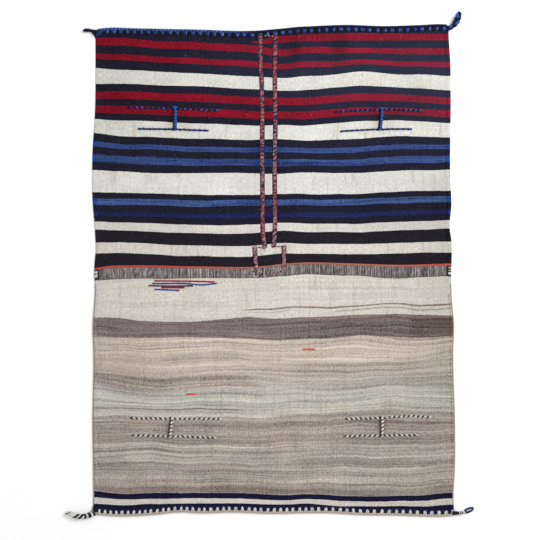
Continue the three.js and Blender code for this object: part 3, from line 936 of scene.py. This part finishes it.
def make_orange_line(material):
    """One doubled weft of orange yarn, paler and thinner in the middle, in short floats."""
    yarns = Yarns()
    line = smooth(ORANGE_CENTRES)
    strong, pale = np.array(dye("orange", 0)), np.array(dye("salmon", 0)) * 0.8
    x = ORANGE_CENTRES[0][0] - 3
    while x < ORANGE_CENTRES[-1][0] + 2:
        length = 7.0 + jitter(1.0)
        share = math.exp(-(((x + 30) / 150) ** 2)) + math.exp(-(((x - 280) / 160) ** 2))
        share = min(share * rng.uniform(0.75, 1.1), 1.0)
        colour = tuple(strong + (pale - strong) * share)
        thick = 1.5 - 0.35 * math.exp(-(((x + 30) / 130) ** 2))
        for side in (-0.95 * thick, 0.85 * thick):
            start, end = (x - 1.5, line(x) + side), (x + length, line(x + length) + side)
            yarns.stitch(start, end, 0.9, thick, colour, steps=7, flatness=0.4)
        x += length
    yarns.finished("orange_line_yarns", material, "orange_line", "orange_yarn")


# Whipping at each end of the band: height, dye, thickness and how far in each yarn starts.
WRAPS = {
    "band_wrap_left": (left_edge, 1, [
        (-0.5, "black", 1.4, 13), (-4.5, "white", 1.7, 10), (-7.8, "cool_white", 1.7, 10),
        (-11.5, "black", 1.3, 5), (-13.5, "white", 1.7, 10), (-17.0, "white", 1.7, 9),
        (-20.3, "cool_white", 1.7, 9), (-24.5, "black", 1.6, 13),
    ]),
    "band_wrap_right": (right_edge, -1, [
        (12.0, "black", 1.4, 12), (8.3, "white", 1.7, 9), (4.0, "black", 1.7, 10),
        (0.6, "white", 1.5, 9), (-3.0, "black", 1.6, 10), (-6.8, "white", 1.7, 9),
        (-10.4, "white", 1.8, 9), (-15.0, "black", 1.7, 12),
    ]),
}


def make_wraps(material):
    """Black and cream whipping at each end of the band, with a black yarn down its inner side."""
    for node, (edge, inwards, turns) in WRAPS.items():
        yarns = Yarns()
        for y, name, radius, depth in turns:
            start, end = (edge(y) + inwards * depth, y + 1.0), (edge(y) + inwards * 1.5, y - 0.6)
            yarns.stitch(start, end, 1.7, radius, dye(name), flatness=0.3)
        high, low = turns[0][0] + 1, turns[-1][0] - 1
        start, end = (edge(high) + inwards * 12.5, high), (edge(low) + inwards * 12.5, low)
        yarns.stitch(start, end, 1.8, 1.3, dye("black"), flatness=0.3)
        yarns.finished(f"{node}_yarns", material, node, "brown_yarn")


# ------------------------------------------------------------------ closed slits

# Each line: its points, the pitch of its twining and which way it slants to left and right.
SLITS = {
    "slit_upper_left": {
        "dyes": ("bright_blue", "night", "blue"),
        "above": ([(-430, 480.5), (-300, 476.5), (-162, 470.5)], 15.8, (-1, 1)),
        "below": ([(-400, 417), (-300, 415.5), (-192, 411.5)], 15.4, (-1, -1)),
        "bar": [(-291, 480), (-291, 414)],
    },
    "slit_upper_right": {
        "dyes": ("bright_blue", "night", "blue"),
        "above": ([(180, 466.5), (306, 473.5), (435, 470.5)], 14.2, (1, 1)),
        "below": ([(196, 409.5), (300, 415), (407, 416.5)], 15.0, (1, -1)),
        "bar": [(318.5, 477), (312, 414)],
    },
    "slit_lower_left": {
        "dyes": ("white", "brown", "black"),
        "above": ([(-421, -434.5), (-288, -436), (-153, -437)], 14.2, (-1, 1)),
        "below": ([(-417, -485), (-294, -487.5), (-169, -492.5)], 14.2, (1, -1)),
        "bar": [(-300, -434), (-306.5, -489)],
    },
    "slit_lower_right": {
        "dyes": ("white", "brown", "black"),
        "above": ([(211, -437), (315, -433.5), (409, -428.5), (463, -431.5)], 14.2, (-1, 1)),
        "below": ([(205, -487.5), (315, -485.5), (425, -484)], 14.2, (1, -1)),
        "bar": [(318, -432), (318, -487)],
    },
}


def twined_line(points, pitch, slants, pale, dark):
    """Two yarns turned round each other: pale floats, with a dark stroke between them."""
    yarns = Yarns()
    thick = pale != "white"
    base, _ = along_path(points, 5.0)
    yarns.tube(on_cloth(base, 0.4), 2.2 if thick else 0.9, dye(dark if thick else "clay"))
    places, ahead = along_path(points, pitch)
    for i, (place, way) in enumerate(zip(places, ahead)):
        across = np.array([-way[1], way[0]])
        slant = slants[2 * i > len(places)]
        for name, shift, share, lean in ((dark, 0.25, 0.29, 2.4), (pale, -0.25, 0.29, 1.9)):
            if (i == 0 and shift < 0) or (i == len(places) - 1 and shift > 0):
                continue
            tone = "blue" if thick and name == pale and rng.random() < 0.45 else name
            reach = way * pitch * (share - (0.06 if thick else 0)) + across * slant * lean
            middle = place + way * (pitch * shift + jitter(0.6)) + across * jitter(0.5)
            rise = (3.1 if thick else 2.0) + (0.3 if name == pale else 0.0)
            for side in (-0.8, 0.8):
                beside = middle + across * side - way * side * slant * 0.7
                thin = 1.05 if name == "brown" else 1.25
                yarns.stitch(beside - reach, beside + reach, rise, thin, dye(tone, 0.2), flatness=0.7)
    return yarns


def slit_bar(ends, pale, dark, second):
    """A standing rib of herringbone stitches over the closed slit, dark on its left as painted shadow."""
    yarns = Yarns()
    blue = pale != "white"
    places, ahead = along_path(ends, 3.3 if blue else 3.7)
    # Painted shadow: the left-hand stitches take dark dyes for the shadow along the rib's left side.
    left = (dark, "navy", dark) if blue else (dark, "bark")
    right = (pale, pale, second) if blue else (pale, pale, dark)
    for i, (place, way) in enumerate(zip(places, ahead)):
        across = np.array([-way[1], way[0]])
        for side, names in ((-1, left), (1, right)):
            crown = place - across * 1.5 + way * 1.5
            foot = place + across * side * 5.0 - way * 2.2
            t = np.linspace(0, 1, 8)
            xy = crown + (foot - crown) * t[:, None]
            lift = 3.6 * np.cos(t * math.pi / 2) ** 0.6 - 0.6 * t
            yarns.tube(on_cloth(xy, lift), 1.65 if blue else 1.8, dye(names[i % len(names)], 0.15))
    return yarns


def make_slits(material):
    for name, slit in SLITS.items():
        pale, dark, second = slit["dyes"]
        slot = "blue_yarn" if pale == "bright_blue" else "brown_yarn"
        for part in ("above", "below"):
            node = f"{name}_line_{part}"
            twined_line(*slit[part], pale, dark).finished(f"{node}_yarns", material, node, slot)
        yarns = slit_bar(slit["bar"], pale, dark, second)
        if slot == "blue_yarn":
            add_slit_knots(yarns, *slit["bar"])
        yarns.finished(f"{name}_bar_yarns", material, f"{name}_bar", slot)


def add_slit_knots(yarns, head, foot):
    """Bright blue knots at the head of an upper bar, and its stitches spreading at the foot."""
    for dx in (-5.0, -1.0, 3.0, 6.0):
        at = np.array(head) + (dx, 0.5 + jitter(0.8))
        yarns.stitch(at + (-2.6, 1.6), at + (2.6, -1.6), 3.8, 1.9, dye("bright_blue", 0.3))
    for dx in (-8.0, -5.0, -2.0, 2.0, 5.0):
        start = np.array(foot) + (dx * 0.4, 9.0)
        name = "blue" if dx > -4 else "night"
        yarns.stitch(start, np.array(foot) + (dx, -1.5), 3.0, 1.9, dye(name, 0.2))


# ------------------------------------------------------------------ neck seams

CENTRE_SEAMS = {
    "centre_seam_left": [
        (-39, 691), (-39, 618), (-36, 560), (-34, 412), (-34, 324), (-33, 206), (-31, 103), (-26, 66),
    ],
    "centre_seam_right": [
        (6, 694), (3.5, 618), (4.5, 412), (2.5, 324), (3, 206), (3, 118), (-0.5, 69),
    ],
}
BOX_SEAMS = {
    "box_seam_left": [(-56, 70), (-54.5, 40), (-53, 24), (-50.5, 4), (-49, -8)],
    "box_seam_right": [(30, 72), (30, 44), (30, 31), (30, 12), (30.5, 1)],
}
STITCHES = {
    "stitch_yarn_neck_top": ([(-27, 691), (-1, 689)], 0.4),
    "stitch_yarn_left_step": ([(-50, 68), (-29, 67.5)], 0.4),
    "stitch_yarn_right_step": ([(5, 70.5), (27, 71.5)], 0.4),
    "stitch_yarn_box_foot": ([(-42, -9), (-10, -7.5), (24, -2)], 2.0),
}


def whipped_seam(points, width, lights, darks, lift=0.0):
    """Close stitches of marled yarn: its pale and dark plies show by chance along each one."""
    yarns = Yarns()
    places, ahead = along_path(points, 2.5)
    phase = rng.uniform(0, 6.28)
    for place, way in zip(places, ahead):
        across = np.array([-way[1], way[0]])
        reach = across * width / 2 - way * 1.8
        redder = place[1] > 560
        rosy = rng.random() < 0.5 + 0.4 * math.sin(place[1] / 47 + phase) + 0.5 * redder
        light, dark = np.array(dye(lights[rosy], 0.2)), np.array(dye(darks[rosy], 0.2))
        plies = [float(rng.random() < 0.38) for _ in range(4)]
        shown = np.interp(np.linspace(0, 3, 11), range(4), plies)
        colours = dark + (light - dark) * shown[:, None]
        middle = place + across * jitter(0.6)
        rise = 2.2 + lift + jitter(0.3)
        yarns.stitch(middle - reach, middle + reach, rise, 1.25, colours, steps=11)
    # Painted shadow: a dark yarn along each side of the seam stands for the shade in its groove.
    painted_shadow_places, way = along_path(points, 6.0)
    for side in (-1, 1):
        beside = painted_shadow_places + np.column_stack([-way[:, 1], way[:, 0]]) * side * (width / 2 + 0.4)
        yarns.tube(on_cloth(beside, lift - 0.2), 1.0, dye("night"))
    return yarns


def make_seams(material):
    for node, points in CENTRE_SEAMS.items():
        yarns = whipped_seam(points, 11.5, ("blush", "pink"), ("indigo", "plum"))
        yarns.finished(f"{node}_yarns", material, node, "rose_yarn")
    for node, points in BOX_SEAMS.items():
        yarns = whipped_seam(points, 11.0, ("blush", "blush"), ("indigo", "mauve"), 1.0)
        yarns.finished(f"{node}_yarns", material, node, "rose_yarn")
    for node, (points, lift) in STITCHES.items():
        yarns = Yarns()
        places, _ = along_path(points, 5.6)
        for i, (start, end) in enumerate(zip(places[:-1], places[1:])):
            yarns.stitch(start, end, 1.2 + lift, 1.6, dye(("salmon", "indigo")[i % 2]), flatness=0.4)
        yarns.finished(f"{node}_yarns", material, node, "rose_yarn")


def make_knot(material):
    """The tangle where the box's thread was fastened off: curls of cream and dark yarn."""
    yarns = Yarns()
    curls = (
        (-62, -11, 5.0, 0.4, "cool_white"), (-52, -14, 5.5, 2.6, "white"), (-43, -5, 5.0, 0.9, "cool_white"),
        (-45, -15, 4.5, 3.8, "black"), (-58, -8, 6.0, 5.0, "black"), (-49, -12, 5.0, 1.8, "plum"),
        (-67, -8, 4.0, 3.0, "black"), (-40, -12, 4.0, 5.4, "black"),
    )
    for x, y, size, start, name in curls:
        turn = np.linspace(start, start + 3.6, 14)
        xy = np.column_stack([x + size * 1.1 * np.cos(turn), y + size * 0.75 * np.sin(turn)])
        lift = 1.6 + 1.4 * np.sin(np.linspace(0, math.pi, 14))
        yarns.tube(on_cloth(xy, lift), 1.15, dye(name, 0.1))
    yarns.finished("seam_knot_yarns", material, "seam_knot", "brown_yarn")


# ------------------------------------------------------------------ accents

BROCADE = {
    "brocade_red_top": ([(-350, -30.5), (-260, -31.5), (-174, -33.5)], "red", "red_yarn"),
    "brocade_blue_top": ([(-357, -38.5), (-250, -39), (-215, -42.5), (-167, -38)], "sky", "blue_yarn"),
    "brocade_dark": ([(-368, -44.5), (-300, -46), (-238, -45)], "plum", "navy_yarn"),
    "brocade_red_low": ([(-330, -50.5), (-262, -50.5)], "red", "red_yarn"),
    "brocade_blue_low": ([(-351, -55.5), (-279, -58.5)], "sky", "blue_yarn"),
    "tick_red": ([(-256, -364), (-228, -364)], "coral", "red_yarn"),
    "tick_orange": ([(84, -232), (122, -232)], "coral", "orange_yarn"),
}


def make_brocade(material):
    for node, (points, name, slot) in BROCADE.items():
        yarns = Yarns()
        places, _ = along_path(points, 11.0)
        for start, end in zip(places[:-1], places[1:]):
            for side in (-1.1, 1.1):
                shift = np.array([jitter(1.2), side + jitter(0.3)])
                head, foot = start + shift - (1.0, 0), end + shift + (1.0, 0)
                yarns.stitch(head, foot, 0.6, 1.25, dye(name), flatness=0.35)
        yarns.finished(f"{node}_yarns", material, node, slot)


# ------------------------------------------------------------------ corner tails


def tail_path(stations, spacing=1.5):
    """Places along a tail, with its radius at each: stations are x, y, radius."""
    places, _ = along_path(stations, spacing)
    radius = places[:, 2]
    return np.column_stack([places[:, :2], radius + 0.6]), radius


def rows_round(yarns, path, radius, rows, point, slant):
    """Yarns lying round a tail like rows of herringbone: each row is a place and a dye.

    The rows point back along the tail by the first amount, and slant across it by the second.
    """
    side, normal = across_of(path)
    travelled = run_of(path)
    turn = np.linspace(-math.pi, math.pi, 17)
    for at, name in rows:
        spot = at - point * (1 - np.abs(turn) / math.pi) + slant * np.sin(turn)
        spot = np.clip(spot, 0, travelled[-1])

        def here(values):
            return np.column_stack([np.interp(spot, travelled, values[:, k]) for k in range(3)])

        reach = (np.interp(spot, travelled, radius) - 1.5)[:, None]
        ring = here(side) * np.sin(turn)[:, None] + here(normal) * np.cos(turn)[:, None]
        yarns.tube(here(path) + reach * ring, 1.65, dye(name, 0.12))


def plait(yarns, stations, dyes, pitch, strand):
    """A flat three-strand plait."""
    path, radius = tail_path(stations)
    side, normal = across_of(path)
    travelled = run_of(path)
    for k, name in enumerate(dyes):
        turn = 2 * math.pi * (travelled / pitch + k / len(dyes))
        thick = np.minimum(strand, radius * 0.62)
        swing = ((radius - thick) * np.sin(turn))[:, None] * side
        weave = ((radius - thick) * 0.6 * np.sin(2 * turn))[:, None] * normal
        for ply in range(3):
            spin = 2 * math.pi * travelled / 11.0 + 2.1 * ply
            offset = np.cos(spin)[:, None] * side + np.sin(spin)[:, None] * normal
            route = path + swing + weave + (0.45 * thick)[:, None] * offset
            yarns.tube(route, thick * 0.56, dye(name, 0.3), 8)


TAILS = {
    "tail_top_left": [
        (-519, 699, 8), (-527, 702.5, 6), (-535, 704.8, 5), (-542, 706, 5.2), (-549, 706.5, 6),
        (-555, 706.3, 5.4), (-560, 705.6, 3.5),
    ],
    "tail_top_right": [
        (511, 711, 8), (518, 713, 7.5), (525, 718.5, 7.5), (533, 725.5, 10), (539, 736.5, 10.5),
        (542, 745.5, 9.5), (545, 755, 7.5), (546, 760, 5),
    ],
    "tail_bottom_left": [
        (-526.5, -713.5, 6.5), (-542, -719.5, 7.2), (-563, -723, 7.5), (-579, -722, 7.5),
        (-597, -716, 7.2), (-611.5, -711, 5.8),
    ],
    "tail_bottom_right": [
        (526, -713, 7), (536, -713, 5.4), (546, -713, 4.6), (556, -711.5, 4.6), (563, -709, 4.4),
    ],
}


def make_tails(material):
    yarns = Yarns()
    plait(yarns, TAILS["tail_top_right"], ("navy", "bright_blue", "night"), 38.0, 5.6)
    yarns.finished("tail_top_right_yarns", material, "tail_top_right", "navy_yarn")

    yarns = Yarns()
    plait(yarns, TAILS["tail_top_left"], ("navy", "night", "navy"), 30.0, 3.4)
    route = [(-526, 697, 4), (-534, 701.5, 5), (-541, 705.5, 7.5)]
    yarns.tube(along_path(route, 2.0)[0], 1.7, dye("blue", 0))
    yarns.finished("tail_top_left_yarns", material, "tail_top_left", "navy_yarn")

    yarns = Yarns()
    path, radius = tail_path(TAILS["tail_bottom_left"])
    yarns.tube(path, radius * 0.72, dye("cream", 0), 10)
    rows = [(4 + 2.9 * i, "cream" if i % 5 > 2 else "navy") for i in range(12)]
    rows_round(yarns, path, radius, rows, 8.0, 0.0)
    names = 2 * ("navy", "navy", "navy", "cream", "cream")
    names += ("white", "white", "cool_white", "white", "cream", "night")
    rows = [(39 + 2.8 * i, name) for i, name in enumerate(names)]
    rows_round(yarns, path, radius, rows, 0.0, -6.5)
    made = yarns.finished("tail_bottom_left_yarns", material, "tail_bottom_left", "navy_yarn")

    yarns = Yarns()
    path, radius = tail_path(TAILS["tail_bottom_right"])
    yarns.tube(path, radius * 0.7, dye("night", 0), 10)
    names = ("night", "black", "navy", "night", "black", "night")
    names += ("cream", "black", "cream", "navy", "white", "cream")
    rows = [(3 + 2.9 * i, name) for i, name in enumerate(names)]
    rows_round(yarns, path, radius, rows, 0.0, 1.5)
    lean, turn = 0.38, np.linspace(0, 2 * math.pi, 33)
    loop = np.column_stack([13 * np.cos(turn), 4.8 * np.sin(turn), 3.8 + 0.6 * np.sin(2 * turn)])
    inner = np.column_stack([np.linspace(-8, 10, 9), np.zeros(9), np.full(9, 3.4)])
    for local, thick, name in ((loop, 2.8, "navy"), (inner, 2.6, "cool_white")):
        x = 574 + local[:, 0] * math.cos(lean) - local[:, 1] * math.sin(lean)
        y = -705 + local[:, 0] * math.sin(lean) + local[:, 1] * math.cos(lean)
        yarns.tube(np.column_stack([x, y, local[:, 2]]), thick, dye(name, 0), 8)
    yarns.finished("tail_bottom_right_yarns", material, "tail_bottom_right", "navy_yarn")


# ------------------------------------------------------------------ floor, light and camera


def make_floor():
    s = Shader("pale_floor", roughness=0.9, sheen=0.0)
    where = s.node("ShaderNodeTexCoord").outputs["Object"]
    grain = s.noise(where, 6.0, 3.0)
    shade = s.scaled(linear((250, 250, 250)), s.math("MULTIPLY_ADD", grain, 0.01, 0.995))
    s.put(shade, s.surface.inputs["Base Color"])
    half = 9.0 / MM
    corners = [(-half, -half, 0), (half, -half, 0), (half, half, 0), (-half, half, 0)]
    new_object("floor", corners, [(0, 1, 2, 3)], s.material)


def add_light(name, place, size, power, target=(0, 0, 0)):
    data = bpy.data.lights.new(name, "AREA")
    data.size = size
    data.energy = power
    made = bpy.data.objects.new(name, data)
    made.location = place
    aim = mathutils.Vector(target) - made.location
    made.rotation_euler = aim.to_track_quat("-Z", "Y").to_euler()
    made.visible_camera = False
    bpy.context.collection.objects.link(made)


def make_light():
    world = bpy.data.worlds.new("studio")
    world.use_nodes = True
    background = world.node_tree.nodes["Background"]
    background.inputs["Color"].default_value = (1.0, 1.0, 1.0, 1.0)
    background.inputs["Strength"].default_value = 0.62
    bpy.context.scene.world = world
    add_light("key", (2.2, 1.5, 2.6), 1.6, 95)
    add_light("fill", (-2.4, -0.6, 2.8), 2.4, 22)
    bpy.context.scene.view_settings.view_transform = "Standard"


VIEW_WIDTH = 1.5876  # metres of floor across the picture
LENS, SENSOR = 85.0, 36.0
VIEW_MIDDLE = (-0.0111, 0.0015)  # the middle of the picture
VIEW_HEIGHT = 0.0065  # how high over the floor that width is measured


def make_camera():
    data = bpy.data.cameras.new("camera")
    data.lens = LENS
    data.sensor_width = SENSOR
    made = bpy.data.objects.new("camera", data)
    made.location = (*VIEW_MIDDLE, VIEW_WIDTH * LENS / SENSOR + VIEW_HEIGHT)
    bpy.context.collection.objects.link(made)
    bpy.context.scene.camera = made


# ------------------------------------------------------------------ all together


def main():
    make_camera()
    yarn = yarn_wool()
    make_tails(yarn)
    make_floor()
    make_light()
    make_cloth(cloth_wool())
    make_top_border(yarn)
    make_bottom_border(yarn)
    make_edge_cords(yarn)
    make_selvedges(yarn)
    make_band(yarn)
    make_orange_line(yarn)
    make_wraps(yarn)
    make_slits(yarn)
    make_seams(yarn)
    make_knot(yarn)
    make_brocade(yarn)


main()
